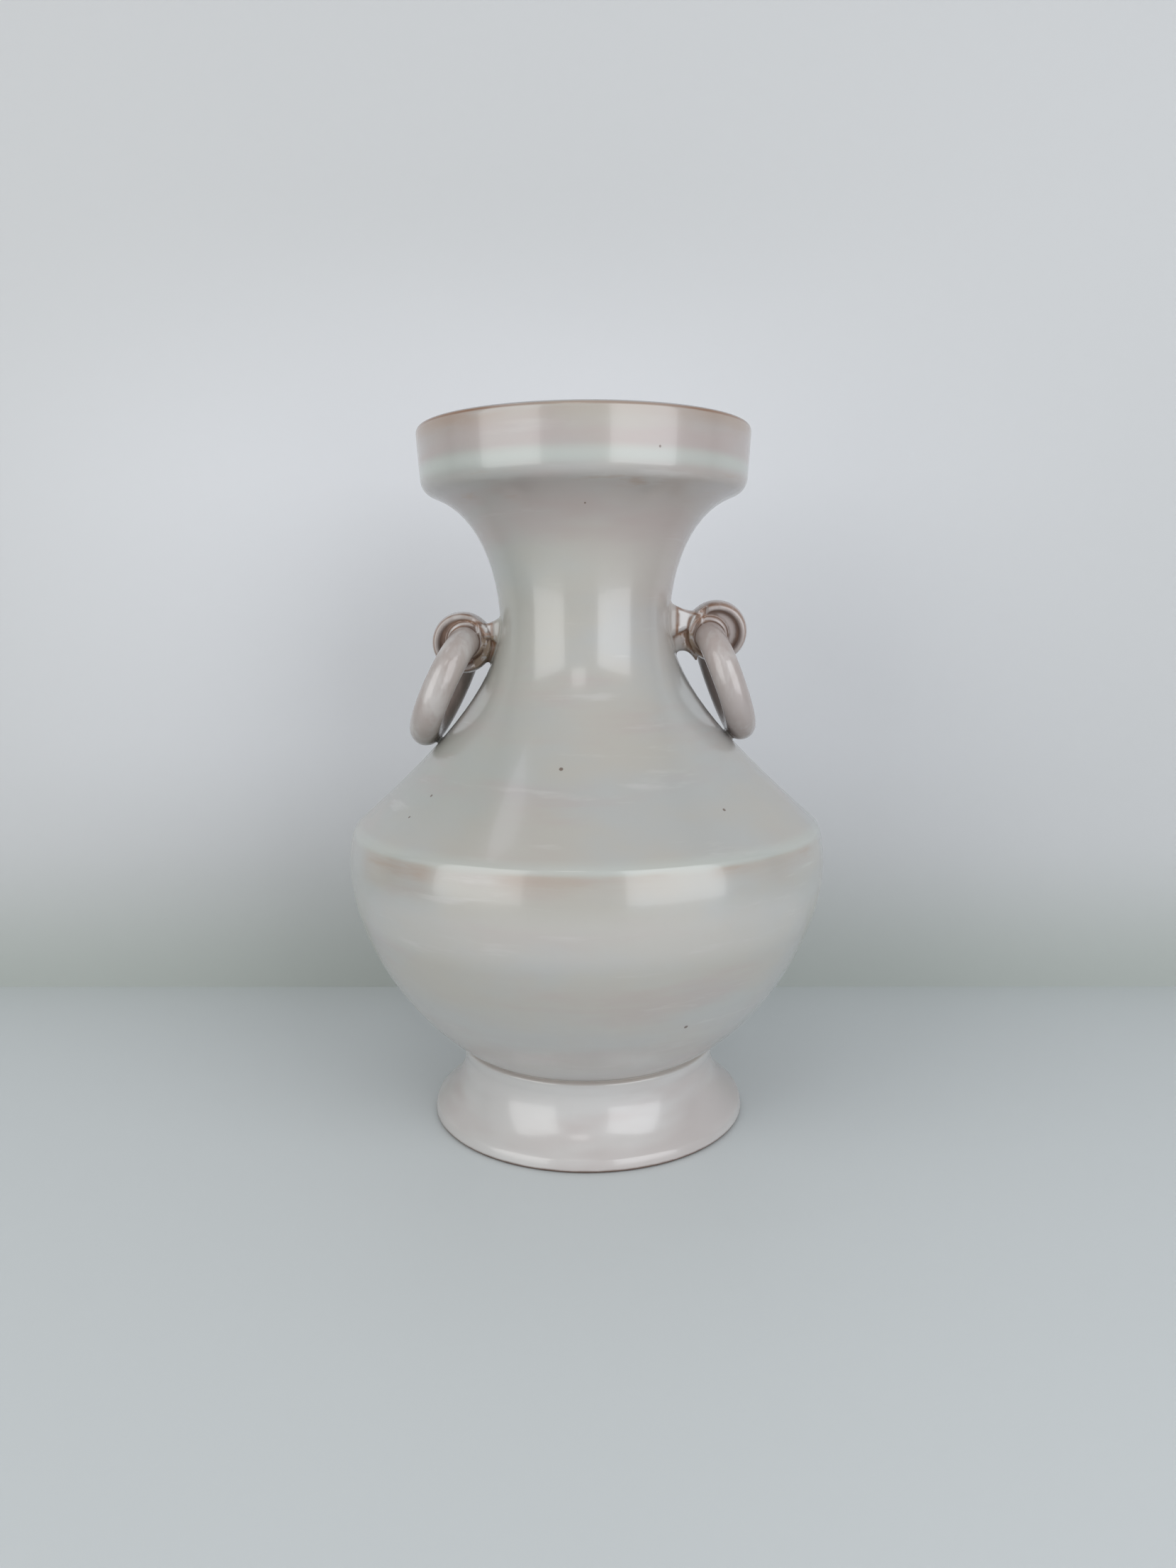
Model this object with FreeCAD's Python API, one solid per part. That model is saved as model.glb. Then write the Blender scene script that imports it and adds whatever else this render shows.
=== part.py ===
import FreeCAD, Part
import os
from math import cos, radians, sin
from FreeCAD import Placement, Rotation, Vector

# A wheel-thrown ceramic vase with a cup mouth, a flared foot and two ears that grip fixed rings.
# It is one fired piece. Millimetres, Z up, origin on the table under the middle of the foot.

# Heights of the stages of the profile, each measured from the stage below it
foot_height = 33.6
belly_height = 99.0
shoulder_height = 88.4
flare_height = 51.5
roll_height = 6.6
mouth_height = 20.9

# Radii of the outer profile
foot_radius = 70.3
waist_radius = 56.1
foot_lip_radius = 57.4
groove_radius = 55.2
belly_start_radius = 57.0
ridge_radius = 101.6
neck_radius = 36.8
flare_radius = 64.5
band_radius = 69.3
mouth_radius = 70.5

# Each curve leaves and arrives at an angle from level, with a handle that is a share of its chord
foot_leave = (144.0, 0.346)
foot_arrive = (90.0, 0.386)
belly_leave = (35.0, 0.359)
belly_arrive = (109.0, 0.291)
shoulder_leave = (138.0, 0.342)
shoulder_arrive = (90.0, 0.282)
flare_leave = (90.0, 0.086)
flare_arrive = (19.5, 0.470)
roll_leave = (19.5, 0.392)
roll_arrive = (86.0, 0.392)

# Foot, with a hollow underneath that leaves a ring to stand on
band_height = 5.0
band_taper = 0.9
band_step = 0.5
foot_edge = 0.9
waist_height = 26.5
foot_lip_height = 32.0
groove_width = 0.5
foot_wall = 6.6
foot_ring = 5.6
recess_depth = 27.0

# Walls
wall = 6.0
lip = 4.6
lip_round = 2.3
floor = 8.5
ridge_round = 3.0

# Ears, short drums with a welt round both faces and a dish inside the welt
ear_thickness = 13.6
ear_bulge = 1.1
ear_edge = 1.5
welt = 2.4
welt_rise = 0.9
dish_depth = 1.7
dish_slope = 2.0

# Collar that an ear puts round the ring's tube
collar = 1.5
collar_rise = 0.6
collar_round = 0.9

# Stalk from the neck to an ear: a strap with a sunk panel on both faces, and a web below it
strap_depth = 13.4
web_depth = 9.0
stalk_round = 2.2
panel_depth = 0.7
panel_margin = 1.8

# The bead of glaze that ties the right ring's foot to the shoulder
bead_radius = 1.8
bead_length = 7.0
bead_round = 1.2

# Each ear was set by hand, so each has its own height, reach from the neck, stalk and ring.
# The gap is between the ring's foot and the body, and it settles how far the ring leans.
left = {
    "side": -1, "height": 211.2, "reach": 15.3, "radius": 13.4, "nod": 0.0,
    "strap_height": 9.0, "strap_rise": 4.9, "strap_taper": 0.0, "stalk_flare": 1.3,
    "web_height": 13.5, "web_drop": 3.2, "web_reach": 12.0, "web_dip": 1.5,
    "ring": 21.8, "tube": 6.6, "turn": 3.0, "grip_in": 1.7, "grip_drop": -0.9, "gap": 0.7,
}
right = {
    "side": 1, "height": 215.4, "reach": 19.9, "radius": 13.4, "nod": 9.0,
    "strap_height": 12.0, "strap_rise": 4.9, "strap_taper": 3.0, "stalk_flare": 2.5,
    "web_height": 10.0, "web_drop": 4.1, "web_reach": 11.5, "web_dip": 4.5,
    "ring": 21.0, "tube": 6.4, "turn": 0.0, "grip_in": 3.5, "grip_drop": 1.7, "gap": 0.3,
}

# How closely a search closes in, and when two coordinates count as one
halvings = 40
same = 0.001

groove_level = foot_height
ridge_level = groove_level + belly_height
neck_level = ridge_level + shoulder_height
flare_level = neck_level + flare_height
band_level = flare_level + roll_height
top_level = band_level + mouth_height


def at(radius, height):
    return Vector(radius, 0, height)


def toward(angle, length):
    return Vector(cos(radians(angle)), 0, sin(radians(angle))) * length


def line(start, end):
    return Part.LineSegment(start, end).toShape()


def arc(start, middle, end):
    return Part.Arc(start, middle, end).toShape()


# A quarter circle that leaves level and arrives upright
def quarter(start, end):
    reach = end - start
    middle = start + Vector(reach.x * sin(radians(45)), 0, reach.z * (1 - cos(radians(45))))
    return arc(start, middle, end)


def poles(start, leave, end, arrive):
    chord = start.distanceToPoint(end)
    return [start, start + toward(leave[0], leave[1] * chord), end - toward(arrive[0], arrive[1] * chord), end]


def curve(four):
    bezier = Part.BezierCurve()
    bezier.setPoles(four)
    return bezier


# The corner where two stretches of wall meet on the inside, from the directions of both outside
def mitre(corner, arriving, leaving, thickness):
    first = Vector(-arriving.z, 0, arriving.x).normalize()
    second = Vector(-leaving.z, 0, leaving.x).normalize()
    return corner + (first + second) * (thickness / (1 + first.dot(second)))


# Curves that follow each other, moved a wall's thickness inwards, with handles shortened as they are
def inset(curves, thickness):
    inner = []
    for number, (start, first, last, end) in enumerate(curves):
        leave, arrive = first - start, end - last
        before = curves[number - 1] if number > 0 else None
        after = curves[number + 1] if number + 1 < len(curves) else None
        new_start = mitre(start, before[3] - before[2] if before else leave, leave, thickness)
        new_end = mitre(end, arrive, after[1] - after[0] if after else arrive, thickness)
        share = new_start.distanceToPoint(new_end) / start.distanceToPoint(end)
        inner.append([new_start, new_start + leave * share, new_end - arrive * share, new_end])
    return inner


# The radius of a rising curve at a height, found by halving
def radius_at(four, height):
    low, high = 0.0, 1.0
    for _ in range(halvings):
        middle = (low + high) / 2
        if curve(four).value(middle).z < height:
            low = middle
        else:
            high = middle
    return curve(four).value(low).x


foot_curve = poles(at(foot_radius - band_taper - band_step, band_height + band_step), foot_leave,
                   at(waist_radius, waist_height), foot_arrive)
belly_curve = poles(at(belly_start_radius, groove_level), belly_leave,
                    at(ridge_radius, ridge_level), belly_arrive)
shoulder_curve = poles(at(ridge_radius, ridge_level), shoulder_leave,
                       at(neck_radius, neck_level), shoulder_arrive)
flare_curve = poles(at(neck_radius, neck_level), flare_leave,
                    at(flare_radius, flare_level), flare_arrive)
roll_curve = poles(at(flare_radius, flare_level), roll_leave,
                   at(band_radius, band_level), roll_arrive)
outer_curves = [belly_curve, shoulder_curve, flare_curve, roll_curve]


# Outer side of the foot, from its standing ring up to the groove under the belly
def foot_outside():
    band_foot = at(foot_radius, foot_edge)
    band_top = at(foot_radius - band_taper, band_height)
    lip_point = at(foot_lip_radius, foot_lip_height)
    groove_bottom = at(groove_radius, groove_level - groove_width)
    return [
        quarter(at(foot_radius - foot_edge, 0), band_foot),
        line(band_foot, band_top),
        line(band_top, foot_curve[0]),
        curve(foot_curve).toShape(),
        line(foot_curve[3], lip_point),
        line(lip_point, groove_bottom),
        line(groove_bottom, belly_curve[0]),
    ]


# The mouth's wall, over the rounded lip and down inside to the roll's inner side
def mouth(inner_roll):
    band_point = at(mouth_radius, top_level - lip_round)
    inner_lip = at(mouth_radius - lip, top_level - lip_round)
    return [
        line(at(band_radius, band_level), band_point),
        arc(band_point, at(mouth_radius - lip / 2, top_level), inner_lip),
        line(inner_lip, inner_roll[3]),
    ]


def make_body():
    inner_belly, inner_shoulder, inner_flare, inner_roll = inset(outer_curves, wall)
    bottom = recess_depth + floor
    inside = [
        curve([inner_roll[3], inner_roll[2], inner_roll[1], inner_roll[0]]).toShape(),
        curve(list(reversed(inner_flare))).toShape(),
        curve(list(reversed(inner_shoulder))).toShape(),
        curve(list(reversed(inner_belly))).toShape(),
        line(inner_belly[0], at(0, bottom)),
    ]
    recess = poles(at(foot_radius - foot_ring, 0), foot_leave,
                   at(waist_radius - foot_wall, recess_depth), foot_arrive)
    under = [
        line(at(0, bottom), at(0, recess_depth)),
        line(at(0, recess_depth), recess[3]),
        curve(list(reversed(recess))).toShape(),
        line(recess[0], at(foot_radius - foot_edge, 0)),
    ]
    outside = foot_outside()
    outside += [curve(four).toShape() for four in outer_curves]
    profile = Part.Wire(outside + mouth(inner_roll) + inside + under)
    body = Part.Face(profile).revolve(Vector(0, 0, 0), Vector(0, 0, 1), 360)
    ridge = [edge for edge in body.Edges if is_ring_at(edge, ridge_radius, ridge_level)]
    return body.makeFillet(ridge_round, ridge)


def is_ring_at(edge, radius, level):
    point = edge.Vertexes[0].Point
    return abs(Vector(point.x, point.y, 0).Length - radius) < same and abs(point.z - level) < same


# An ear's drum, one half section mirrored and turned about the drum's own axis along Y
def make_ear(ear):
    face = ear_thickness / 2
    edge = ear["radius"] - ear_bulge
    edge_face = face - ear_edge
    welt_in = edge - welt
    dish_in = welt_in - dish_slope
    half = [
        arc(Vector(edge, -edge_face, 0), Vector(edge - welt / 2, -edge_face - welt_rise, 0),
            Vector(welt_in, -edge_face, 0)),
        arc(Vector(welt_in, -edge_face, 0),
            Vector(welt_in - dish_slope * (1 - cos(radians(45))), dish_depth * sin(radians(45)) - edge_face, 0),
            Vector(dish_in, dish_depth - edge_face, 0)),
        line(Vector(dish_in, dish_depth - edge_face, 0), Vector(0, dish_depth - edge_face, 0)),
    ]
    mirrored = [piece.mirror(Vector(0, 0, 0), Vector(0, 1, 0)) for piece in half]
    rim = arc(Vector(edge, -edge_face, 0), Vector(ear["radius"], 0, 0), Vector(edge, edge_face, 0))
    axis = line(Vector(0, dish_depth - edge_face, 0), Vector(0, edge_face - dish_depth, 0))
    section = Part.Wire(Part.__sortEdges__(half + mirrored + [rim, axis]))
    return Part.Face(section).revolve(Vector(0, 0, 0), Vector(0, 1, 0), 360)


# The outside beside the ears, on the shoulder and above it on the flare
def side_radius(height):
    return radius_at(shoulder_curve if height < neck_level else flare_curve, height)


def ear_centre(ear):
    out = side_radius(ear["height"]) + ear["reach"]
    return Vector(ear["side"] * out, 0, ear["height"])


# The strap that runs out from the neck over the ear, and the thinner web that dips below it
def make_stalk(ear):
    side, flare = ear["side"], ear["stalk_flare"]
    neck = side_radius(ear["height"])
    strap_end = neck + ear["reach"] - ear["tube"]
    strap_level = ear["height"] + ear["strap_rise"]
    web_level = ear["height"] - ear["web_drop"]
    strap = flared_bar(side, neck, flare, strap_end, strap_depth, ear["strap_height"], strap_level,
                       ear["strap_taper"], 0.0)
    web = flared_bar(side, neck, flare, neck + ear["web_reach"], web_depth, ear["web_height"], web_level,
                     0.0, ear["web_dip"])
    panel_start = neck + flare
    panel_width = strap_end - panel_margin - panel_start
    panel_height = ear["strap_height"] - ear["strap_taper"] / 2 - 2 * panel_margin
    for face in (-1, 1):
        pocket = Part.makeBox(panel_width, 2 * panel_depth, panel_height)
        pocket = pocket.makeFillet(panel_margin / 2, [edge for edge in pocket.Edges if is_along_y(edge)])
        middle = Vector(side * (panel_start + panel_width / 2), face * strap_depth / 2, strap_level)
        pocket.translate(middle - Vector(panel_width / 2, panel_depth, panel_height / 2))
        strap = strap.cut(pocket)
    return [strap, web]


def is_along_y(edge):
    start, end = edge.Vertexes[0].Point, edge.Vertexes[-1].Point
    return abs(start.x - end.x) < same and abs(start.z - end.z) < same


# A bar along X that spreads where it meets the neck, and may taper and dip towards its end
def flared_bar(side, neck, flare, end, depth, height, level, taper, dip):
    stations = [
        (neck - wall / 2, 2 * flare, 0.0, 0.0),
        (neck + flare / 2, flare / 2, 0.0, 0.0),
        (neck + flare, 0.0, 0.0, 0.0),
        (end, 0.0, taper, dip),
    ]
    sections = []
    for out, spread, less, lower in stations:
        sections.append(rounded_wire(side * out, depth + spread, height + spread - less, level - lower))
    return Part.makeLoft(sections, True, False)


# A rounded rectangle that stands across X, its corners quarter circles
def rounded_wire(x, depth, height, level):
    y, z, r = depth / 2, height / 2, stalk_round
    corners = [(1, 1), (-1, 1), (-1, -1), (1, -1)]
    edges = []
    for number, (along, up) in enumerate(corners):
        centre = Vector(x, along * (y - r), level + up * (z - r))
        start = centre + Vector(0, along * r, 0)
        end = centre + Vector(0, 0, up * r)
        if along * up < 0:
            start, end = end, start
        middle = centre + Vector(0, along * r * cos(radians(45)), up * r * sin(radians(45)))
        edges.append(arc(start, middle, end))
        next_along, next_up = corners[(number + 1) % 4]
        next_centre = Vector(x, next_along * (y - r), level + next_up * (z - r))
        if along * up > 0:
            edges.append(line(end, next_centre + Vector(0, 0, next_up * r)))
        else:
            edges.append(line(end, next_centre + Vector(0, next_along * r, 0)))
    return Part.Wire(edges)


# The middle of the ring's tube where the ear grips it
def grip_point(ear):
    return ear_centre(ear) - Vector(ear["side"] * ear["grip_in"], 0, ear["grip_drop"])


# From the grip down the ring's plane, at a lean away from the body
def ring_down(ear, lean):
    return Vector(ear["side"] * sin(radians(lean)), 0, -cos(radians(lean)))


# How far the ring's foot stands off the body at a lean
def foot_gap(ear, lean):
    foot = grip_point(ear) + ring_down(ear, lean) * (2 * ear["ring"])
    section = Part.Vertex(at(abs(foot.x), foot.z))
    side = Part.Wire([curve(shoulder_curve).toShape(), curve(flare_curve).toShape()])
    off = section.distToShape(side)[0]
    outside = abs(foot.x) > side_radius(foot.z)
    return (off if outside else -off) - ear["tube"]


# The lean at which the ring's foot keeps its gap to the body, found by halving
def ring_lean(ear):
    low, high = -45.0, 75.0
    for _ in range(halvings):
        middle = (low + high) / 2
        if foot_gap(ear, middle) < ear["gap"]:
            low = middle
        else:
            high = middle
    return low


def make_ring(ear):
    lean = ring_lean(ear)
    down = ring_down(ear, lean)
    normal = Vector(-ear["side"] * down.z, 0, ear["side"] * down.x)
    swing = Rotation(Vector(0, 0, 1), ear["turn"] * ear["side"])
    centre = grip_point(ear) + swing.multVec(down) * ear["ring"]
    return Part.makeTorus(ear["ring"], ear["tube"], centre, swing.multVec(normal))


# A short bar along Y with rounded ends
def round_bar(middle, radius, length, end_round):
    start = middle - Vector(0, length / 2, 0)
    bar = Part.makeCylinder(radius, length, start, Vector(0, 1, 0))
    ends = [edge for edge in bar.Edges if edge.Curve.TypeId == "Part::GeomCircle"]
    return bar.makeFillet(end_round, ends)


def make_collar(ear):
    length = ear_thickness - 2 * ear_edge + 2 * collar_rise
    return round_bar(grip_point(ear), ear["tube"] + collar, length, collar_round)


# The bead lies where the ring's foot comes nearest to the shoulder
def make_bead(ring, body):
    on_ring, on_body = ring.distToShape(body)[1][0]
    return round_bar((on_ring + on_body) / 2, bead_radius, bead_length, bead_round)


# One ear with its ring, joined piece by piece from the drum outwards
def make_handle(ear):
    handle = make_ear(ear)
    handle.Placement = Placement(ear_centre(ear), Rotation(Vector(1, 0, 0), ear["nod"]))
    for piece in [make_collar(ear), make_ring(ear)] + make_stalk(ear):
        handle = handle.fuse(piece)
    return handle


body = make_body()
vase = body
for ear in (left, right):
    handle = make_handle(ear)
    vase = vase.fuse(handle)
    print("ring leans", round(ring_lean(ear), 2), "gap", round(make_ring(ear).distToShape(body)[0], 2),
          "handle", round(handle.Volume / 1000, 1), "ml, vase", round(vase.Volume / 1000, 1), "ml")
vase = vase.fuse(make_bead(make_ring(right), body)).removeSplitter()
print("valid", vase.isValid(), "solids", len(vase.Solids), "volume", round(vase.Volume / 1000, 1), "ml")
os.makedirs("parts", exist_ok=True)
vase.exportStep("parts/vase.step")
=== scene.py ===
import math
import bmesh
import bpy
import numpy as np
from mathutils import Euler, Matrix, Vector


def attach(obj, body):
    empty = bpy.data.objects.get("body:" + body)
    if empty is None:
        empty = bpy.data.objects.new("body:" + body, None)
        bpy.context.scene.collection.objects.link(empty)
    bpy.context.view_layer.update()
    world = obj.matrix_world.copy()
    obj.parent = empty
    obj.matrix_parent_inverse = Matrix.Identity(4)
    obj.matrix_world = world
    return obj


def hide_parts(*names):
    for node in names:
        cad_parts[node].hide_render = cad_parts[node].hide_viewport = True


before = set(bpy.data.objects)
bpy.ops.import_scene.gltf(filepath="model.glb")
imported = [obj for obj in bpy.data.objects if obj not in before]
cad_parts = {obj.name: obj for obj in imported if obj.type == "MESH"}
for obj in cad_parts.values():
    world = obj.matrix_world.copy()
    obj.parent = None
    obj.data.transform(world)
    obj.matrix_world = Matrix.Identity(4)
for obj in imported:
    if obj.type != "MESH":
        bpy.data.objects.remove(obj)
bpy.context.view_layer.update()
print("frame loaded:", sorted(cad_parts))


# Camera, as the photograph was taken: close up, a little above the middle and looking slightly down
camera = {
    "place": (0.0008, -0.4791, 0.2226),
    "lens": 24.98,
    "lookDown": 8.82,  # degrees
    "roll": -0.42,
}


def makeCamera():
    data = bpy.data.cameras.new("camera")
    data.lens = camera["lens"]
    data.sensor_width = 36.0
    data.clip_start = 0.01
    eye = bpy.data.objects.new("camera", data)
    bpy.context.scene.collection.objects.link(eye)
    turn = Euler((math.radians(90 - camera["lookDown"]), 0, 0)).to_matrix().to_4x4()
    turn = turn @ Matrix.Rotation(math.radians(camera["roll"]), 4, "Z")
    eye.matrix_world = Matrix.Translation(camera["place"]) @ turn
    bpy.context.scene.camera = eye
    print("camera placed")


# Shader values that can be added and multiplied like numbers
class Value:
    def __init__(self, paint, socket):
        self.paint = paint
        self.socket = socket

    def join(self, operation, first, second):
        return self.paint.node("ShaderNodeMath", {"operation": operation}, [first, second])

    def __add__(self, other):
        return self.join("ADD", self, other)

    def __radd__(self, other):
        return self.join("ADD", other, self)

    def __sub__(self, other):
        return self.join("SUBTRACT", self, other)

    def __rsub__(self, other):
        return self.join("SUBTRACT", other, self)

    def __mul__(self, other):
        return self.join("MULTIPLY", self, other)

    def __rmul__(self, other):
        return self.join("MULTIPLY", other, self)


class Paint:
    def __init__(self, name):
        self.material = bpy.data.materials.new(name)
        self.material.use_nodes = True
        self.tree = self.material.node_tree
        self.shader = self.tree.nodes["Principled BSDF"]
        self.output = self.tree.nodes["Material Output"]

    # One way to make any node: its type, its settings, then the values or links of its sockets
    def node(self, kind, settings=None, inputs=(), out=0):
        made = self.tree.nodes.new(kind)
        for name, setting in (settings or {}).items():
            setattr(made, name, setting)
        pairs = inputs.items() if isinstance(inputs, dict) else enumerate(inputs)
        for key, value in pairs:
            self.plug(made.inputs[key], value)
        return Value(self, made.outputs[out])

    def plug(self, socket, value):
        if isinstance(value, Value):
            self.tree.links.new(value.socket, socket)
        else:
            socket.default_value = value

    def place(self):
        return self.node("ShaderNodeTexCoord", out="Object")

    def split(self, vector):
        return [self.node("ShaderNodeSeparateXYZ", {}, [vector], out=axis) for axis in "XYZ"]

    def noise(self, vector, stretch, scale, detail, rough, seed):
        spread = self.node("ShaderNodeVectorMath", {"operation": "MULTIPLY"}, [vector, stretch])
        inputs = {"Vector": spread, "W": seed, "Scale": scale, "Detail": detail, "Roughness": rough}
        return self.node("ShaderNodeTexNoise", {"noise_dimensions": "4D"}, inputs)

    # Rises from 0 to 1 as value goes from low to high, and falls where low is the larger
    def rise(self, value, low, high):
        settings = {"interpolation_type": "SMOOTHSTEP"}
        return self.node("ShaderNodeMapRange", settings, {"Value": value, "From Min": low, "From Max": high})

    # 1 on a level, and 0 beyond the reach on either side
    def near(self, value, level, reach):
        away = self.node("ShaderNodeMath", {"operation": "ABSOLUTE"}, [value - level])
        return self.rise(away, reach, 0.0)

    # 1 from low to high, with soft shoulders on both sides
    def between(self, value, low, high, soft):
        return self.rise(value, low - soft, low + soft) * self.rise(value, high + soft, high - soft)

    # 1 in the middle of a round spot, and 0 beyond its reach
    def spot(self, place, middle, reach):
        away = self.node("ShaderNodeVectorMath", {"operation": "DISTANCE"}, [place, middle], out="Value")
        return self.rise(away, reach, 0.0)

    # Sockets 6 and 7 of a Mix node are its two colours
    def mix(self, factor, first, second):
        inputs = {0: factor, 6: self.colour(first), 7: self.colour(second)}
        return self.node("ShaderNodeMix", {"data_type": "RGBA"}, inputs, out=2)

    def colour(self, value):
        return value if isinstance(value, Value) else (*value, 1)


# Outline of the thrown body, metres, the same stages as the construction
body = {
    "footHeight": 0.0336, "bellyHeight": 0.0990, "shoulderHeight": 0.0884,
    "flareHeight": 0.0515, "rollHeight": 0.0066, "mouthHeight": 0.0209,
    "foot": 0.0703, "waist": 0.0561, "footLip": 0.0574, "groove": 0.0552, "bellyStart": 0.0570,
    "ridge": 0.1016, "neck": 0.0368, "flare": 0.0645, "band": 0.0693, "mouth": 0.0705,
    "footEdge": 0.0009, "bandHeight": 0.0050, "bandTaper": 0.0009, "bandStep": 0.0005,
    "waistHeight": 0.0265, "footLipHeight": 0.0320, "grooveWidth": 0.0005,
    "footWall": 0.0066, "footRing": 0.0056, "recess": 0.0270,
    "wall": 0.0060, "lip": 0.0046, "lipRound": 0.0023, "floor": 0.0085,
    # each curve leaves and arrives at an angle from level, with a handle that is a share of its chord
    "footCurve": ((144, 0.346), (90, 0.386)), "bellyCurve": ((35, 0.359), (109, 0.291)),
    "shoulderCurve": ((138, 0.342), (90, 0.282)), "flareCurve": ((90, 0.086), (19.5, 0.470)),
    "rollCurve": ((19.5, 0.392), (86, 0.392)),
    "softness": 0.0007,  # how far the glaze rounds a corner
    "turns": 448, "rows": 210,
    "rowEvery": 0.0060, "rowTurn": 9,  # a row of faces at least this often, in metres and in degrees of bend
    # throwing rings on the belly: depth, height from one to the next, and turns of drift round the body
    "rings": [(0.00009, 0.0105, 1), (0.00005, 0.0063, -2)], "ringsLow": 0.038, "ringsHigh": 0.128,
}


def point(radius, height):
    return Vector((radius, height))


def toward(angle, length):
    return Vector((math.cos(math.radians(angle)), math.sin(math.radians(angle)))) * length


def poles(start, end, handles):
    leave, arrive = [toward(angle, share * (end - start).length) for angle, share in handles]
    return [start, start + leave, end - arrive, end]


def curve(four, count=60):
    start, first, last, end = four
    made = []
    for step in range(count + 1):
        t = step / count
        u = 1 - t
        made.append(start * u ** 3 + first * (3 * u * u * t) + last * (3 * u * t * t) + end * t ** 3)
    return made


# The corner where two stretches of wall meet on the inside, from the directions of both outside
def mitre(corner, arriving, leaving, thickness):
    first = Vector((-arriving.y, arriving.x)).normalized()
    second = Vector((-leaving.y, leaving.x)).normalized()
    return corner + (first + second) * (thickness / (1 + first.dot(second)))


# Curves that follow each other, moved a wall's thickness inwards
def inset(curves, thickness):
    inner = []
    for number, (start, first, last, end) in enumerate(curves):
        leave, arrive = first - start, end - last
        before = curves[number - 1] if number > 0 else None
        after = curves[number + 1] if number + 1 < len(curves) else None
        newStart = mitre(start, before[3] - before[2] if before else leave, leave, thickness)
        newEnd = mitre(end, arrive, after[1] - after[0] if after else arrive, thickness)
        share = (newEnd - newStart).length / (end - start).length
        inner.append([newStart, newStart + leave * share, newEnd - arrive * share, newEnd])
    return inner


def bodyOutline():
    b = body
    grooveLevel = b["footHeight"]
    ridgeLevel = grooveLevel + b["bellyHeight"]
    neckLevel = ridgeLevel + b["shoulderHeight"]
    flareLevel = neckLevel + b["flareHeight"]
    bandLevel = flareLevel + b["rollHeight"]
    topLevel = bandLevel + b["mouthHeight"]
    footTop = point(b["foot"] - b["bandTaper"] - b["bandStep"], b["bandHeight"] + b["bandStep"])
    foot = poles(footTop, point(b["waist"], b["waistHeight"]), b["footCurve"])
    belly = poles(point(b["bellyStart"], grooveLevel), point(b["ridge"], ridgeLevel), b["bellyCurve"])
    shoulder = poles(belly[3], point(b["neck"], neckLevel), b["shoulderCurve"])
    flare = poles(shoulder[3], point(b["flare"], flareLevel), b["flareCurve"])
    roll = poles(flare[3], point(b["band"], bandLevel), b["rollCurve"])
    recess = poles(point(b["foot"] - b["footRing"], 0), point(b["waist"] - b["footWall"], b["recess"]),
                   b["footCurve"])
    innerBelly, innerShoulder, innerFlare, innerRoll = inset([belly, shoulder, flare, roll], b["wall"])
    lipMiddle = point(b["mouth"] - b["lip"] / 2, topLevel - b["lipRound"])
    lip = [lipMiddle + toward(angle, b["lipRound"]) for angle in range(0, 181, 15)]
    outline = [point(0, b["recess"])]
    outline += curve(recess)[::-1]
    outline += [point(b["foot"] - b["footEdge"], 0), point(b["foot"], b["footEdge"])]
    outline += [point(b["foot"] - b["bandTaper"], b["bandHeight"])]
    outline += curve(foot)
    outline += [point(b["footLip"], b["footLipHeight"]), point(b["groove"], grooveLevel - b["grooveWidth"])]
    outline += curve(belly) + curve(shoulder)[1:] + curve(flare)[1:] + curve(roll)[1:] + lip
    outline += curve(innerRoll)[::-1] + curve(innerFlare)[::-1][1:] + curve(innerShoulder)[::-1][1:]
    outline += curve(innerBelly)[::-1] + [point(0, b["recess"] + b["floor"])]
    return np.array([tuple(p) for p in outline])


# Even steps along the outline, every corner rounded as glaze rounds it, then rows set closer in the bends
def softOutline(outline, step=0.0002):
    run = np.concatenate([[0], np.cumsum(np.linalg.norm(np.diff(outline, axis=0), axis=1))])
    even = np.arange(0, run[-1], step)
    line = np.column_stack([np.interp(even, run, outline[:, axis]) for axis in (0, 1)])
    reach = int(3 * body["softness"] / step)
    weights = np.exp(-0.5 * (np.arange(-reach, reach + 1) * step / body["softness"]) ** 2)
    weights /= weights.sum()
    padded = np.concatenate([2 * line[:1] - line[reach:0:-1], line, 2 * line[-1:] - line[-2:-reach - 2:-1]])
    soft = np.column_stack([np.convolve(padded[:, axis], weights, "valid") for axis in (0, 1)])
    direction = np.unwrap(np.arctan2(np.gradient(soft[:, 1]), np.gradient(soft[:, 0])))
    bend = np.abs(np.gradient(direction)) / math.radians(body["rowTurn"])
    density = np.cumsum(bend + step / body["rowEvery"])
    density = (density - density[0]) / (density[-1] - density[0])
    picks = np.interp(np.linspace(0, 1, body["rows"]), density, np.arange(len(soft)))
    rows = np.column_stack([np.interp(picks, np.arange(len(soft)), soft[:, axis]) for axis in (0, 1)])
    rows[[0, -1], 0] = 0
    return soft, rows


# The outside alone, from the foot up to the lip
def outsideOf(soft):
    start = int(np.argmax(soft[:, 0] > body["foot"] - body["footEdge"]))
    rising = soft[start:int(np.argmax(soft[:, 1]))]
    return rising[np.argsort(rising[:, 1])]


def makeMesh(name, vertices, faces):
    mesh = bpy.data.meshes.new(name)
    mesh.from_pydata(vertices, [], faces)
    mesh.validate()
    mesh.shade_smooth()
    made = bpy.data.objects.new(name, mesh)
    bpy.context.scene.collection.objects.link(made)
    return made


# How far the throwing rings swell the belly at a height, all the way round
def throwingRings(height, angles):
    low, high = body["ringsLow"], body["ringsHigh"]
    climb = min(max((height - low) / (high - low), 0), 1)
    fade = math.sin(math.pi * climb) ** 0.5
    return fade * sum(depth * np.sin(2 * math.pi * height / every + drift * angles)
                      for depth, every, drift in body["rings"])


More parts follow.
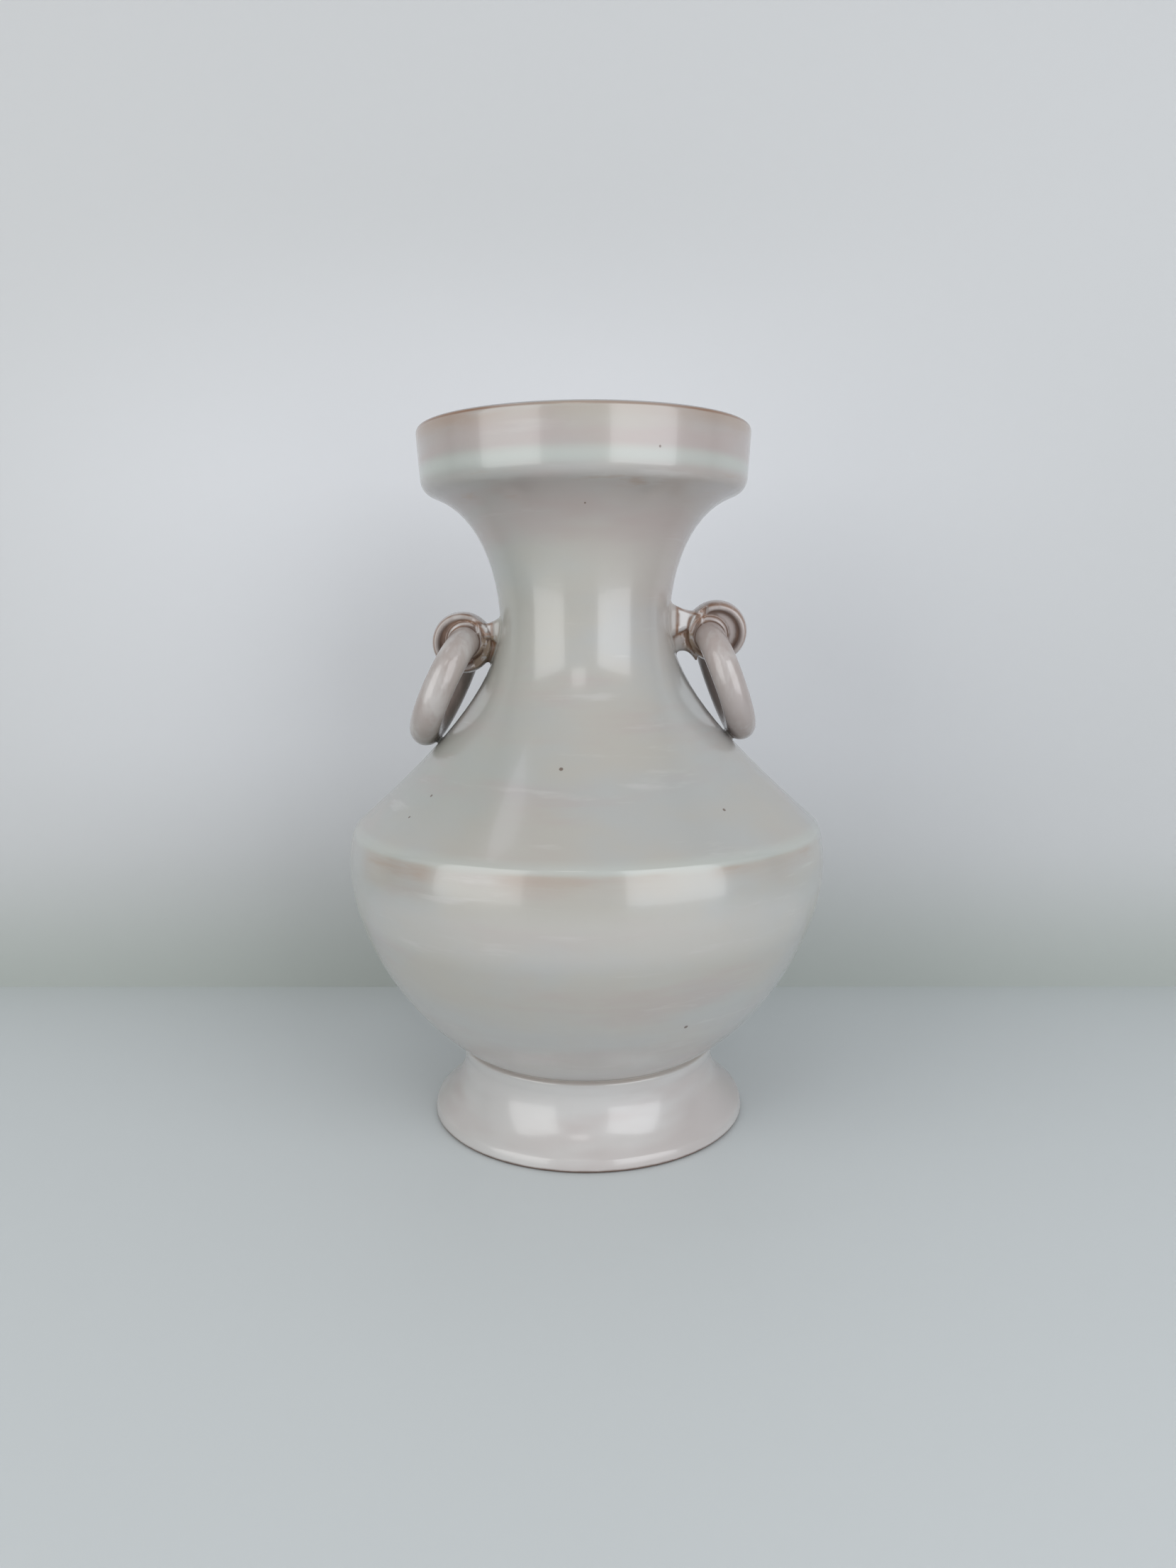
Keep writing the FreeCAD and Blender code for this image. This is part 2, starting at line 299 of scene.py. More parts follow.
def makeBody(rows):
    turns = body["turns"]
    angles = np.arange(turns) * (2 * math.pi / turns)
    rings = rows[1:-1]
    lip = int(np.argmax(rings[:, 1]))  # the rows after it are inside
    vertices = [(0, 0, rows[0][1])]
    for number, (radius, height) in enumerate(rings):
        swell = radius + (throwingRings(height, angles) if number < lip else 0)
        vertices += list(zip(swell * np.cos(angles), swell * np.sin(angles), [height] * turns))
    vertices.append((0, 0, rows[-1][1]))
    last = len(vertices) - 1
    top = 1 + (len(rings) - 1) * turns
    faces = []
    for t in range(turns):
        beside = (t + 1) % turns
        faces.append((0, 1 + beside, 1 + t))
        for ring in range(len(rings) - 1):
            low, high = 1 + ring * turns, 1 + (ring + 1) * turns
            faces.append((low + t, low + beside, high + beside, high + t))
        faces.append((top + t, top + beside, last))
    return makeMesh("thrown_body", vertices, faces)


# The ears and rings keep the construction's form, remeshed fine so that the glaze can melt their edges
ears = {
    "pair": {
        "left_ear_and_ring": {
            "side": -1, "height": 0.2112, "reach": 0.0153, "nod": 0,
            "gripIn": 0.0017, "gripDrop": -0.0009, "collar": 0.0081,
            "ring": 0.0218, "tube": 0.0066, "lean": 25.28, "turn": 3,
            "panel": {"in": 0.0402, "out": 0.0466, "top": (0.2190, 0.2200), "bottom": (0.2146, 0.2150)},
        },
        "right_ear_and_ring": {
            "side": 1, "height": 0.2154, "reach": 0.0199, "nod": 9,
            "gripIn": 0.0035, "gripDrop": 0.0017, "collar": 0.0079,
            "ring": 0.0210, "tube": 0.0064, "lean": 20.01, "turn": 0,
            "panel": {"in": 0.0396, "out": 0.0492, "top": (0.2256, 0.2222), "bottom": (0.2144, 0.2158)},
            # glaze fills the small hole that the construction leaves between strap, web and collar
            "hole": {"x": 0.0427, "z": 0.2149, "radius": 0.0025, "reach": 0.0034},
        },
    },
    # how much of the construction is kept, and how far from the cut the copy ends
    "cut": {"in": 0.0250, "out": 0.1150, "side": 0.0340, "low": 0.1550, "high": 0.2420, "margin": 0.0020},
    "voxel": 0.00042,
    "melt": 4,            # passes over everything
    "meltJoin": 26,       # further passes where an ear or ring meets the body
    "joinReach": 0.0042,  # how far off the body they work
    "trim": 0.00006,      # what stands off the body by less is left to the thrown body
    "sink": 0.00012,      # how far the open edge is pushed into the thrown body
    # the stalk's flat face, off the ear's middle plane
    "face": 0.0068, "lowFace": 0.0054,       # beside the panel and below it
    "faceStep": (-0.0020, -0.0008),          # from the low face to the face, before the panel's edge
    "panelDepth": 0.0008, "panelStep": (-0.0001, 0.0004),
    "faceIn": 0.0032, "faceOut": 0.0085,     # from the bottom of the dish to just over the welt
    "stalkFrom": 0.0040, "stalkSoft": 0.0015,  # how far towards the neck from the drum's axis it begins
    "collarStep": (0.0002, 0.0010),          # from the collar to the face
    # lines of bare edge on the faces
    "line": 0.00064,                         # half width
    "lineOff": 0.0004,                       # from the collar's edge to its line
    "rim": 0.0124, "dish": 0.0088,           # radii of the line round the welt and of the dish inside it
    "dishSoft": 0.45,                        # under 1 makes the dish's line wider
    "lineFace": (0.0042, 0.0052),            # off the middle plane, where the lines begin
    # bends per metre, from where the glaze starts to break or pool to where it is fully broken or pooled
    "thin": (170, 330), "pool": (-45, -230),
    "thinFrom": (0.0121, 0.0127),            # off the drum's axis
    "ringOff": (0.0010, 0.0003),             # off the ring's tube, where the lines end
    "innerSide": (0.0005, -0.0040),          # from the middle of the ring's tube inwards
    "footOff": (0.0045, 0.0020), "footLevel": (0.1800, 0.1760),  # off the body and up, at the ring's foot
    "innerBrownAndShade": 0.55, "footPool": 0.8,      # how brown the glaze is there; on the rings' inner sides the brown is partly painted shade
    "web": (0.0165, 0.0140), "webTop": (-0.0010, 0.0006),  # off the drum's axis, and below the panel
    "mauve": (0.0003, 0.0050),               # how far off the body the glaze turns mauve
    "pale": (0.0002, 0.0010),                # how far inside the panel's edge it turns pale
}


def cutCopy(name, side):
    bm = bmesh.new()
    bm.from_mesh(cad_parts["vase"].data)
    bmesh.ops.remove_doubles(bm, verts=bm.verts, dist=1e-6)
    mesh = bpy.data.meshes.new(name)
    bm.to_mesh(mesh)
    bm.free()
    made = bpy.data.objects.new(name, mesh)
    bpy.context.scene.collection.objects.link(made)
    cut = ears["cut"]
    inside, outside = sorted((side * cut["in"], side * cut["out"]))
    corners = [(x, y, z) for x in (inside, outside) for y in (-cut["side"], cut["side"])
               for z in (cut["low"], cut["high"])]
    sides = [(0, 1, 3, 2), (4, 6, 7, 5), (0, 4, 5, 1), (2, 3, 7, 6), (0, 2, 6, 4), (1, 5, 7, 3)]
    box = makeMesh("cut", corners, sides)
    keep = made.modifiers.new("keep", "BOOLEAN")
    keep.operation = "INTERSECT"
    keep.solver = "EXACT"
    keep.object = box
    made.data = bpy.data.meshes.new_from_object(made.evaluated_get(bpy.context.evaluated_depsgraph_get()))
    made.modifiers.clear()
    bpy.data.objects.remove(box)
    return made


def fillHole(mesh, hole):
    bm = bmesh.new()
    bm.from_mesh(mesh)
    across = Matrix.Translation((hole["x"], 0, hole["z"])) @ Matrix.Rotation(math.radians(90), 4, "X")
    bmesh.ops.create_cone(bm, cap_ends=True, segments=24, radius1=hole["radius"], radius2=hole["radius"],
                          depth=2 * hole["reach"], matrix=across)
    bm.to_mesh(mesh)
    bm.free()


def neighbourMean(points, edges, count):
    total = np.zeros_like(points)
    for first, second in ((0, 1), (1, 0)):
        for axis in range(points.shape[1]):
            total[:, axis] += np.bincount(edges[:, first], points[edges[:, second], axis], len(points))
    return total / count[:, None]


# How far each point stands off the thrown body, metres
def proud(points, outer):
    level = points[:, 2]
    slope = np.gradient(outer[:, 0], outer[:, 1])
    tilt = np.sqrt(1 + np.interp(level, outer[:, 1], slope) ** 2)
    return (np.hypot(points[:, 0], points[:, 1]) - np.interp(level, outer[:, 1], outer[:, 0])) / tilt


# How much the surface bends at each point, per metre: positive over an edge, negative in a hollow
def bends(mesh, points, edges, count, passes=5):
    normals = np.zeros(len(points) * 3)
    mesh.vertices.foreach_get("normal", normals)
    length = np.linalg.norm(points[edges[:, 0]] - points[edges[:, 1]], axis=1).mean()
    away = points - neighbourMean(points, edges, count)
    bend = (away * normals.reshape(-1, 3)).sum(axis=1)[:, None] / length ** 2 * 2
    for _ in range(passes):
        bend += 0.5 * (neighbourMean(bend, edges, count) - bend)
    return bend[:, 0]


# 0 at none and beyond, 1 at full and beyond
def ramp(value, none, full):
    return np.clip((value - none) / (full - none), 0, 1)


# How far each point is from the middle of the ring's tube, and how far out from that middle it is
def ringPlaces(ear, points, grip):
    lean, swing = math.radians(ear["lean"]), Matrix.Rotation(math.radians(ear["turn"] * ear["side"]), 3, "Z")
    down = np.array(swing @ Vector((ear["side"] * math.sin(lean), 0, -math.cos(lean))))
    axis = np.array(swing @ Vector((math.cos(lean), 0, ear["side"] * math.sin(lean))))
    away = points - grip - down * ear["ring"]
    across = away @ axis
    outward = np.sqrt(np.maximum((away ** 2).sum(axis=1) - across ** 2, 0)) - ear["ring"]
    return np.hypot(across, outward), outward


# Places of the points as the ear has them: round its drum, round the ring's grip and across the panel
def earPlaces(ear, points, outer):
    neck = float(np.interp(ear["height"], outer[:, 1], outer[:, 0]))
    centre = np.array([ear["side"] * (neck + ear["reach"]), 0, ear["height"]])
    local = (points - centre) @ np.array(Matrix.Rotation(math.radians(ear["nod"]), 3, "X"))
    grip = centre - np.array([ear["side"] * ear["gripIn"], 0, ear["gripDrop"]])
    gripAway = np.hypot(points[:, 0] - grip[0], points[:, 2] - grip[2])
    tube, outward = ringPlaces(ear, points, grip)
    panel = ear["panel"]
    out, level = ear["side"] * points[:, 0], points[:, 2]
    along = (out - panel["in"]) / (panel["out"] - panel["in"])
    top = panel["top"][0] + (panel["top"][1] - panel["top"][0]) * along
    bottom = panel["bottom"][0] + (panel["bottom"][1] - panel["bottom"][0]) * along
    collarLine = gripAway - ear["collar"] - ears["lineOff"]
    return {
        "drum": np.hypot(local[:, 0], local[:, 2]),
        "toNeck": -ear["side"] * local[:, 0],
        "collar": gripAway - ear["collar"],
        "collarLine": collarLine,
        # positive inside the panel
        "panel": np.minimum.reduce([out - panel["in"], panel["out"] - out, top - level, level - bottom,
                                    collarLine]),
        "below": bottom - level,
        "face": np.abs(points[:, 1]),
        "tube": tube - ear["tube"],
        "outward": outward,
    }


# The welt and the dish run out towards the neck, where the stalk's flat face takes their place
def layPanel(ear, points, outer):
    at = earPlaces(ear, points, outer)
    flat = ears["lowFace"] + (ears["face"] - ears["lowFace"]) * ramp(at["panel"], *ears["faceStep"])
    flat -= ears["panelDepth"] * ramp(at["panel"], *ears["panelStep"])
    stalk = ramp(at["toNeck"], ears["stalkFrom"], ears["stalkFrom"] + ears["stalkSoft"])
    stalk *= ramp(at["collar"], *ears["collarStep"]) * (at["drum"] < ears["rim"])
    stalk *= (at["face"] > ears["faceIn"]) & (at["face"] < ears["faceOut"])
    points[:, 1] += stalk * (np.sign(points[:, 1]) * flat - points[:, 1])


def edgeLine(value):
    return np.exp(-(value / ears["line"]) ** 2)


# Where the glaze is thin, pooled, ochre, mauve or pale is kept on the mesh, for the glaze's colours; the
# pooled brown also holds painted shade on the rings' inner sides
def paintEar(mesh, ear, points, stand, bend, outer):
    at = earPlaces(ear, points, outer)
    standing = ramp(stand, 0.0002, 0.0010)
    offRing = (1 - ramp(at["tube"], *ears["ringOff"])) * standing
    onFace = ramp(at["face"], *ears["lineFace"])
    onFace *= ramp(at["face"], ears["faceOut"], ears["faceOut"] - 0.0006)
    away = ramp(at["toNeck"], ears["stalkFrom"] + 0.0015, ears["stalkFrom"] - 0.0005)
    below = ramp(at["below"], *ears["webTop"]) * (1 - away)

    rim = edgeLine(at["drum"] - ears["rim"]) * away
    border = edgeLine(at["panel"]) * ramp(at["collar"], -0.0010, 0)
    collar = edgeLine(at["collarLine"]) * ramp(at["drum"], 0.0128, 0.0120) * (1 - below)
    broken = ramp(bend, *ears["thin"]) * ramp(at["drum"], *ears["thinFrom"])
    dish = edgeLine((at["drum"] - ears["dish"]) * ears["dishSoft"]) * ramp(at["collar"], -0.0005, 0)
    # brown glaze and painted shade on the inner side of each ring's tube, where shade falls between ring and
    # neck
    inner = ramp(at["outward"], *ears["innerSide"]) * ramp(at["tube"], 0.0025, 0.0010) * standing
    foot = ramp(stand, *ears["footOff"]) * ramp(points[:, 2], *ears["footLevel"]) * standing
    marks = {
        "thin": np.maximum.reduce([rim * onFace, border * onFace, collar * onFace, 0.9 * broken]) * offRing,
        # pooled brown in the hollows and at the ring's foot, plus brown glaze with painted shade on the
        # ring's inner side
        "pool": np.maximum.reduce([ramp(bend, *ears["pool"]) * standing, 0.7 * dish * away * offRing,
                                   ears["footPool"] * foot, ears["innerBrownAndShade"] * inner]),
        "ochre": below * ramp(at["drum"], *ears["web"]) * offRing,
        "mauve": ramp(stand, *ears["mauve"]),
        "pale": ramp(at["panel"], *ears["pale"]) * onFace * offRing,
    }
    for name, values in marks.items():
        attribute = mesh.attributes.new(name, "FLOAT", "POINT")
        attribute.data.foreach_set("value", values.astype(np.float32))


def voxelMesh(made):
    remesh = made.modifiers.new("remesh", "REMESH")
    remesh.mode = "VOXEL"
    remesh.voxel_size = ears["voxel"]
    mesh = bpy.data.meshes.new_from_object(made.evaluated_get(bpy.context.evaluated_depsgraph_get()))
    made.modifiers.clear()
    return mesh


# What lies in the thrown body or at the cut goes, and the open edge is pushed into the thrown body
def trimEar(mesh, side, points, stand):
    cut = ears["cut"]
    drop = (stand < ears["trim"]) | (np.abs(points[:, 1]) > cut["side"] - cut["margin"])
    drop |= (points[:, 2] < cut["low"] + cut["margin"]) | (points[:, 2] > cut["high"] - cut["margin"])
    drop |= side * points[:, 0] < cut["in"] + cut["margin"]
    bm = bmesh.new()
    bm.from_mesh(mesh)
    bm.verts.ensure_lookup_table()
    bmesh.ops.delete(bm, geom=[bm.verts[int(i)] for i in np.nonzero(drop)[0]], context="VERTS")
    for vertex in bm.verts:
        if any(edge.is_boundary for edge in vertex.link_edges):
            vertex.co -= Vector((vertex.co.x, vertex.co.y, 0)).normalized() * ears["sink"]
    bm.to_mesh(mesh)
    bm.free()


def makeEar(name, ear, outer):
    made = cutCopy(name, ear["side"])
    if "hole" in ear:
        fillHole(made.data, ear["hole"])
    mesh = voxelMesh(made)
    points = np.zeros(len(mesh.vertices) * 3)
    mesh.vertices.foreach_get("co", points)
    points = points.reshape(-1, 3)
    edges = np.zeros(len(mesh.edges) * 2, int)
    mesh.edges.foreach_get("vertices", edges)
    edges = edges.reshape(-1, 2)
    count = np.bincount(edges.ravel(), minlength=len(points)).astype(float)
    layPanel(ear, points, outer)
    for _ in range(ears["melt"]):
        points += 0.5 * (neighbourMean(points, edges, count) - points)
    for _ in range(ears["meltJoin"]):
        close = np.clip(1 - np.abs(proud(points, outer)) / ears["joinReach"], 0, 1)[:, None]
        points += 0.5 * close * (neighbourMean(points, edges, count) - points)
    mesh.vertices.foreach_set("co", points.ravel())
    mesh.update()
    stand = proud(points, outer)
    paintEar(mesh, ear, points, stand, bends(mesh, points, edges, count), outer)
    trimEar(mesh, ear["side"], points, stand)
    mesh.shade_smooth()
    made.data = mesh
    return made


# The glaze. Heights in metres, azimuths in degrees from the front towards the right ear
glaze = {
    "cream": (0.420, 0.403, 0.366),
    "grey": (0.402, 0.407, 0.394),
    "green": (0.340, 0.362, 0.330),
    "pink": (0.405, 0.338, 0.322),
    "mauve": (0.378, 0.308, 0.292),
    "pale": (0.570, 0.560, 0.550),
    "celadon": (0.450, 0.480, 0.448),
    "tan": (0.340, 0.245, 0.180),
    "rust": (0.215, 0.110, 0.060),
    "ochre": (0.225, 0.145, 0.075),
    "brown": (0.090, 0.045, 0.027),
    "bare": (0.120, 0.070, 0.048),
    # a painted bluish-grey reflection on the top of the lip
    "lipReflection": (0.360, 0.370, 0.385),
    # how each kind of cloud or mark is stretched, then its scale, detail, roughness and seed
    "noises": {
        "cloud": ((1, 1, 2), 14, 3, 0.55, 1),
        "brushed": ((1, 1, 8), 18, 4, 0.60, 2),
        "smear": ((1, 1, 4), 11, 3, 0.55, 5),
        "fine": ((1, 1, 1), 160, 3, 0.60, 7),
        "waves": ((1, 1, 4), 24, 2, 0.50, 9),
        "ripple": ((1, 1, 1), 90, 2, 0.50, 10),
        "marks": ((1, 1, 6), 34, 4, 0.60, 11),
        "streak": ((2, 2, 0.6), 60, 3, 0.55, 13),
        "crumbs": ((1, 1, 1), 240, 3, 0.60, 14),
    },
    # bands round the body: from and to height, softness of their edges, and strength
    "flareBand": (0.2500, 0.2775, 0.0070, 0.55),
    "flareMarks": (0.2680, 0.2760, 0.0030, 0.45),
    "mouthEdge": (0.2785, 0.2835, 0.0022, 0.70),
    "ridgeLine": (0.1305, 0.1345, 0.0018, 0.55),
    "lightBand": (0.0960, 0.1150, 0.0060, 0.25),
    "grooveLine": (0.0320, 0.0336, 0.0006, 0.30),
    "lipLine": (0.2982, 0.2992, 0.0004, 1.00),
    # places where a tone sets in: from none to full
    "outside": (0.0300, 0.0340),  # radius, so that the throat and the floor get no bands
    "greenSide": (0.010, -0.060), "greenHeight": (0.130, 0.160),
    "pinkSide": (-0.005, 0.040), "pinkHeight": (0.180, 0.240),
    "lowBelly": (0.085, 0.045),
    "mouth": (0.2800, 0.2865), "halo": (0.2895, 0.2990),
    # azimuths where painted shade deepens the tan below the lip and the brown lip line towards the left and
    # right
    "paintedShadeLeft": (-18.0, -40.0), "paintedShadeRight": (22.0, 45.0),
    "lipReflectionFrom": (0.2990, 0.2996), "lipOutside": (0.0682, 0.0690),
    "foot": (0.0330, 0.0300), "footSide": (-0.050, 0.010), "grooveDepth": (0.0582, 0.0572),
    "bareEdge": (0.0018, 0.0008),
    # patches where the iron shows under the ridge: from and to azimuth, how far down, how strong
    "patches": [(-60, -34, 0.115, 0.75), (-17, 16, 0.120, 0.50), (27, 62, 0.1235, 0.90),
                (98, 137, 0.1180, 0.70), (-166, -121, 0.1220, 0.80)],
    "patchTop": (0.1318, 0.1300), "patchSoft": 4.0,
    # specks: azimuth, height, size
    "specks": [(24, 0.284, 0.00045), (0.5, 0.265, 0.00035), (-8, 0.1645, 0.0007), (-50, 0.152, 0.0006),
               (-52, 0.144, 0.0005), (39, 0.148, 0.0006), (26, 0.065, 0.0007)],
    "roughness": 0.16, "brushRoughness": 0.10, "bareRoughness": 0.20,
    "bumpStrength": 0.22, "bumpDistance": 0.0006, "rippleShare": 0.12,
    "ior": 1.55, "coat": 0.35, "coatRoughness": 0.06,
}


# A point on the outside of the body
def onBody(outer, azimuth, height):
    radius = float(np.interp(height, outer[:, 1], outer[:, 0]))
    return (radius * math.sin(math.radians(azimuth)), -radius * math.cos(math.radians(azimuth)), height)


def makeGlaze(outer):
    g = glaze
    paint = Paint("glaze")
    rise, mix = paint.rise, paint.mix
    place = paint.place()
    x, y, z = paint.split(place)
    flat = paint.node("ShaderNodeCombineXYZ", {}, [x, y, 0.0])
    radius = paint.node("ShaderNodeVectorMath", {"operation": "LENGTH"}, [flat], out="Value")
    azimuth = paint.node("ShaderNodeMath", {"operation": "ARCTAN2"}, [x, 0 - y]) * math.degrees(1)
    noise = {name: paint.noise(place, *settings) for name, settings in g["noises"].items()}
    cloud, smear, fine, streak = [noise[name] for name in ("cloud", "smear", "fine", "streak")]
    mauve, thin, pool, pale, ochre = [paint.node("ShaderNodeAttribute", {"attribute_name": name}, out="Fac")
                                      for name in ("mauve", "thin", "pool", "pale", "ochre")]
    brushed = noise["brushed"] * (1 - mauve) + 0.45 * mauve  # no brush marks on the ears
    outside = rise(radius, *g["outside"])

    def band(name, level):
        low, high, soft, strength = g[name]
        return paint.between(level, low, high, soft) * strength

    # the broad tones: cream to grey clouds, greener on the left, pinker on the right, paler low down
    colour = mix(rise(cloud, 0.38, 0.62), g["cream"], g["grey"])
    colour = mix(rise(x, *g["greenSide"]) * rise(z, *g["greenHeight"]) * 0.55, colour, g["green"])
    colour = mix(rise(x, *g["pinkSide"]) * rise(z, *g["pinkHeight"]) * 0.40, colour, g["pink"])
    colour = mix(rise(smear, 0.48, 0.66) * rise(brushed, 0.30, 0.60) * 0.45, colour, g["pink"])
    low = rise(z, *g["lowBelly"])
    colour = mix(low * 0.40, colour, g["pale"])
    colour = mix(low * rise(brushed, 0.25, 0.75) * 0.30, colour, g["pink"])
    colour = mix(rise(brushed, 0.58, 0.72) * 0.30, colour, g["pale"])

    # the mouth: a tan flare with brush marks below, celadon on its lower edge, brown along the lip; painted
    # shade deepens the tan and brown towards the left and right, and a painted reflection lies on the lip's
    # top
    flare = band("flareBand", z + 0.004 * cloud) * outside
    colour = mix(flare * rise(smear, 0.30, 0.60), colour, g["mauve"])
    colour = mix(band("flareMarks", z) * outside * rise(noise["marks"], 0.56, 0.70), colour, g["tan"])
    colour = mix(rise(z, *g["mouth"]) * outside * rise(smear, 0.35, 0.60) * 0.60, colour, g["pink"])
    colour = mix(band("mouthEdge", z) * outside, colour, g["celadon"])
    # painted shade: the tan below the lip and the brown lip line deepen towards the left and right of the
    # front
    sides = rise(azimuth, *g["paintedShadeLeft"]) + rise(azimuth, *g["paintedShadeRight"])
    halo = rise(z + 0.004 * (smear - 0.5), *g["halo"]) * outside
    colour = mix(halo * (0.30 + 0.35 * sides) * rise(brushed, 0.20, 0.55), colour, g["tan"])
    lipEdge = band("lipLine", z) * rise(radius, *g["lipOutside"])
    # a painted bluish-grey reflection along the top of the lip
    colour = mix(rise(z, *g["lipReflectionFrom"]) * 0.85, colour, g["lipReflection"])
    colour = mix(lipEdge * (0.45 + 0.45 * sides), colour, g["rust"])

    # the ridge: a light line where the glaze gathers, and rust patches below it
    colour = mix(band("ridgeLine", z + 0.0015 * (smear - 0.5)) * outside, colour, g["celadon"])
    for first, last, bottom, strength in g["patches"]:
        across = paint.between(azimuth + 10 * (smear - 0.5), first, last, g["patchSoft"])
        down = rise(z + 0.004 * (cloud - 0.5), bottom, g["patchTop"][1]) * rise(z, *g["patchTop"])
        patch = across * down * outside * (0.35 + 0.65 * rise(brushed, 0.35, 0.62))
        colour = mix(patch * strength * 0.8, colour, g["tan"])
    colour = mix(band("lightBand", z + 0.003 * (smear - 0.5)) * outside, colour, g["pale"])

    # the foot: paler, with a blush, and bare clay on its standing edge
    foot = rise(z, *g["foot"])
    colour = mix(foot * (0.50 + 0.25 * rise(x, *g["footSide"])), colour, g["pale"])
    colour = mix(foot * rise(smear, 0.45, 0.62) * 0.40, colour, g["pink"])
    colour = mix(band("grooveLine", z) * rise(radius, *g["grooveDepth"]) * outside, colour, g["tan"])
    colour = mix(rise(z + 0.0006 * (fine - 0.5), *g["bareEdge"]) * outside, colour, g["bare"])

    # the ears and rings: mauve, broken to rust over the edges, pooled brown in the hollows, and brown glaze
    # with painted shade on the rings' inner sides
    broad, crumbs = rise(streak, 0.42, 0.66), rise(noise["crumbs"], 0.36, 0.58)
    colour = mix(mauve * 0.65, colour, g["mauve"])
    colour = mix(mauve * broad * 0.45, colour, g["pale"])
    colour = mix(ochre * rise(crumbs, 0.0, 0.7) * 0.75, colour, g["ochre"])
    colour = mix(pale * 0.85, colour, g["pale"])
    # pooled brown, and on the rings' inner sides brown glaze with painted shade
    colour = mix(pool * 0.85, colour, mix(broad, g["brown"], g["rust"]))
    colour = mix(thin * (0.60 + 0.35 * crumbs), colour, g["rust"])

    for speckAzimuth, speckHeight, size in g["specks"]:
        dot = paint.spot(place, onBody(outer, speckAzimuth, speckHeight), size * 2)
        colour = mix(rise(dot + 0.5 * (fine - 0.5), 0.25, 0.60) * 0.75, colour, g["brown"])

    paint.plug(paint.shader.inputs["Base Color"], colour)
    rough = g["roughness"] + g["brushRoughness"] * brushed + g["bareRoughness"] * rise(z, *g["bareEdge"])
    paint.plug(paint.shader.inputs["Roughness"], rough)
    height = noise["waves"] * (1 - mauve * 0.9) + g["rippleShare"] * noise["ripple"]
    bumps = {"Strength": g["bumpStrength"], "Distance": g["bumpDistance"], "Height": height}
    paint.plug(paint.shader.inputs["Normal"], paint.node("ShaderNodeBump", {}, bumps, out="Normal"))
    paint.shader.inputs["IOR"].default_value = g["ior"]
    paint.shader.inputs["Coat Weight"].default_value = g["coat"]
    paint.shader.inputs["Coat Roughness"].default_value = g["coatRoughness"]
    print("glaze mixed:", len(paint.tree.nodes), "nodes")
    return paint.material


# The pale table and the wall behind it
stage = {
    "reach": 3.0,
    "table": (0.620, 0.655, 0.660), "tableRoughness": 0.45,
    "wallAt": 0.154,
    "wallTurn": 1.2,  # degrees, its right side nearer
    "wall": (0.560, 0.570, 0.575), "wallRoughness": 0.8,
    # painted shade on the wall, darkest where it meets the table and fading out 0.10 m up
    "paintedWallShade": (0.425, 0.455, 0.430), "paintedWallShadeTo": 0.10,
    "paintedWallLight": (0.715, 0.725, 0.750),  # painted light round the vase, where the lamps cast its shadows on the wall
    "nearMiddle": -0.06, "nearReach": 0.42, "nearFrom": (0.06, 0.16), "nearTo": (0.46, 0.28),
}


def makeTable():
    reach = stage["reach"]
    corners = [(-reach, -reach, 0), (reach, -reach, 0), (reach, reach, 0), (-reach, reach, 0)]
    table = makeMesh("table", corners, [(0, 1, 2, 3)])
    paint = Paint("table")
    paint.shader.inputs["Base Color"].default_value = (*stage["table"], 1)
    paint.shader.inputs["Roughness"].default_value = stage["tableRoughness"]
    table.data.materials.append(paint.material)


# The wall shows from the front only, so that it hides nothing from behind
def makeWall():
    reach, back = stage["reach"], stage["wallAt"]
    skew = reach * math.tan(math.radians(stage["wallTurn"]))
    left, right = (-reach, back + skew), (reach, back - skew)
    corners = [(*left, 0), (*right, 0), (*right, reach), (*left, reach)]
    wall = makeMesh("wall", corners, [(0, 1, 2, 3)])
    paint = Paint("wall")
    x, y, z = paint.split(paint.place())
    # painted shade darkens the wall towards the table
    colour = paint.mix(paint.rise(z, 0.0, stage["paintedWallShadeTo"]), stage["paintedWallShade"], stage["wall"])
    # painted light brightens the wall round the vase, where the lamps cast the vase's shadows
    close = paint.near(x, stage["nearMiddle"], stage["nearReach"])
    close = close * paint.rise(z, *stage["nearFrom"]) * paint.rise(z, *stage["nearTo"])
    colour = paint.mix(close, colour, stage["paintedWallLight"])
    paint.plug(paint.shader.inputs["Base Color"], colour)
    paint.shader.inputs["Roughness"].default_value = stage["wallRoughness"]
    behind = paint.node("ShaderNodeNewGeometry", out="Backfacing")
    clear = paint.node("ShaderNodeBsdfTransparent")
    both = paint.node("ShaderNodeMixShader", {}, [behind, Value(paint, paint.shader.outputs[0]), clear])
    paint.plug(paint.output.inputs["Surface"], both)
    wall.data.materials.append(paint.material)


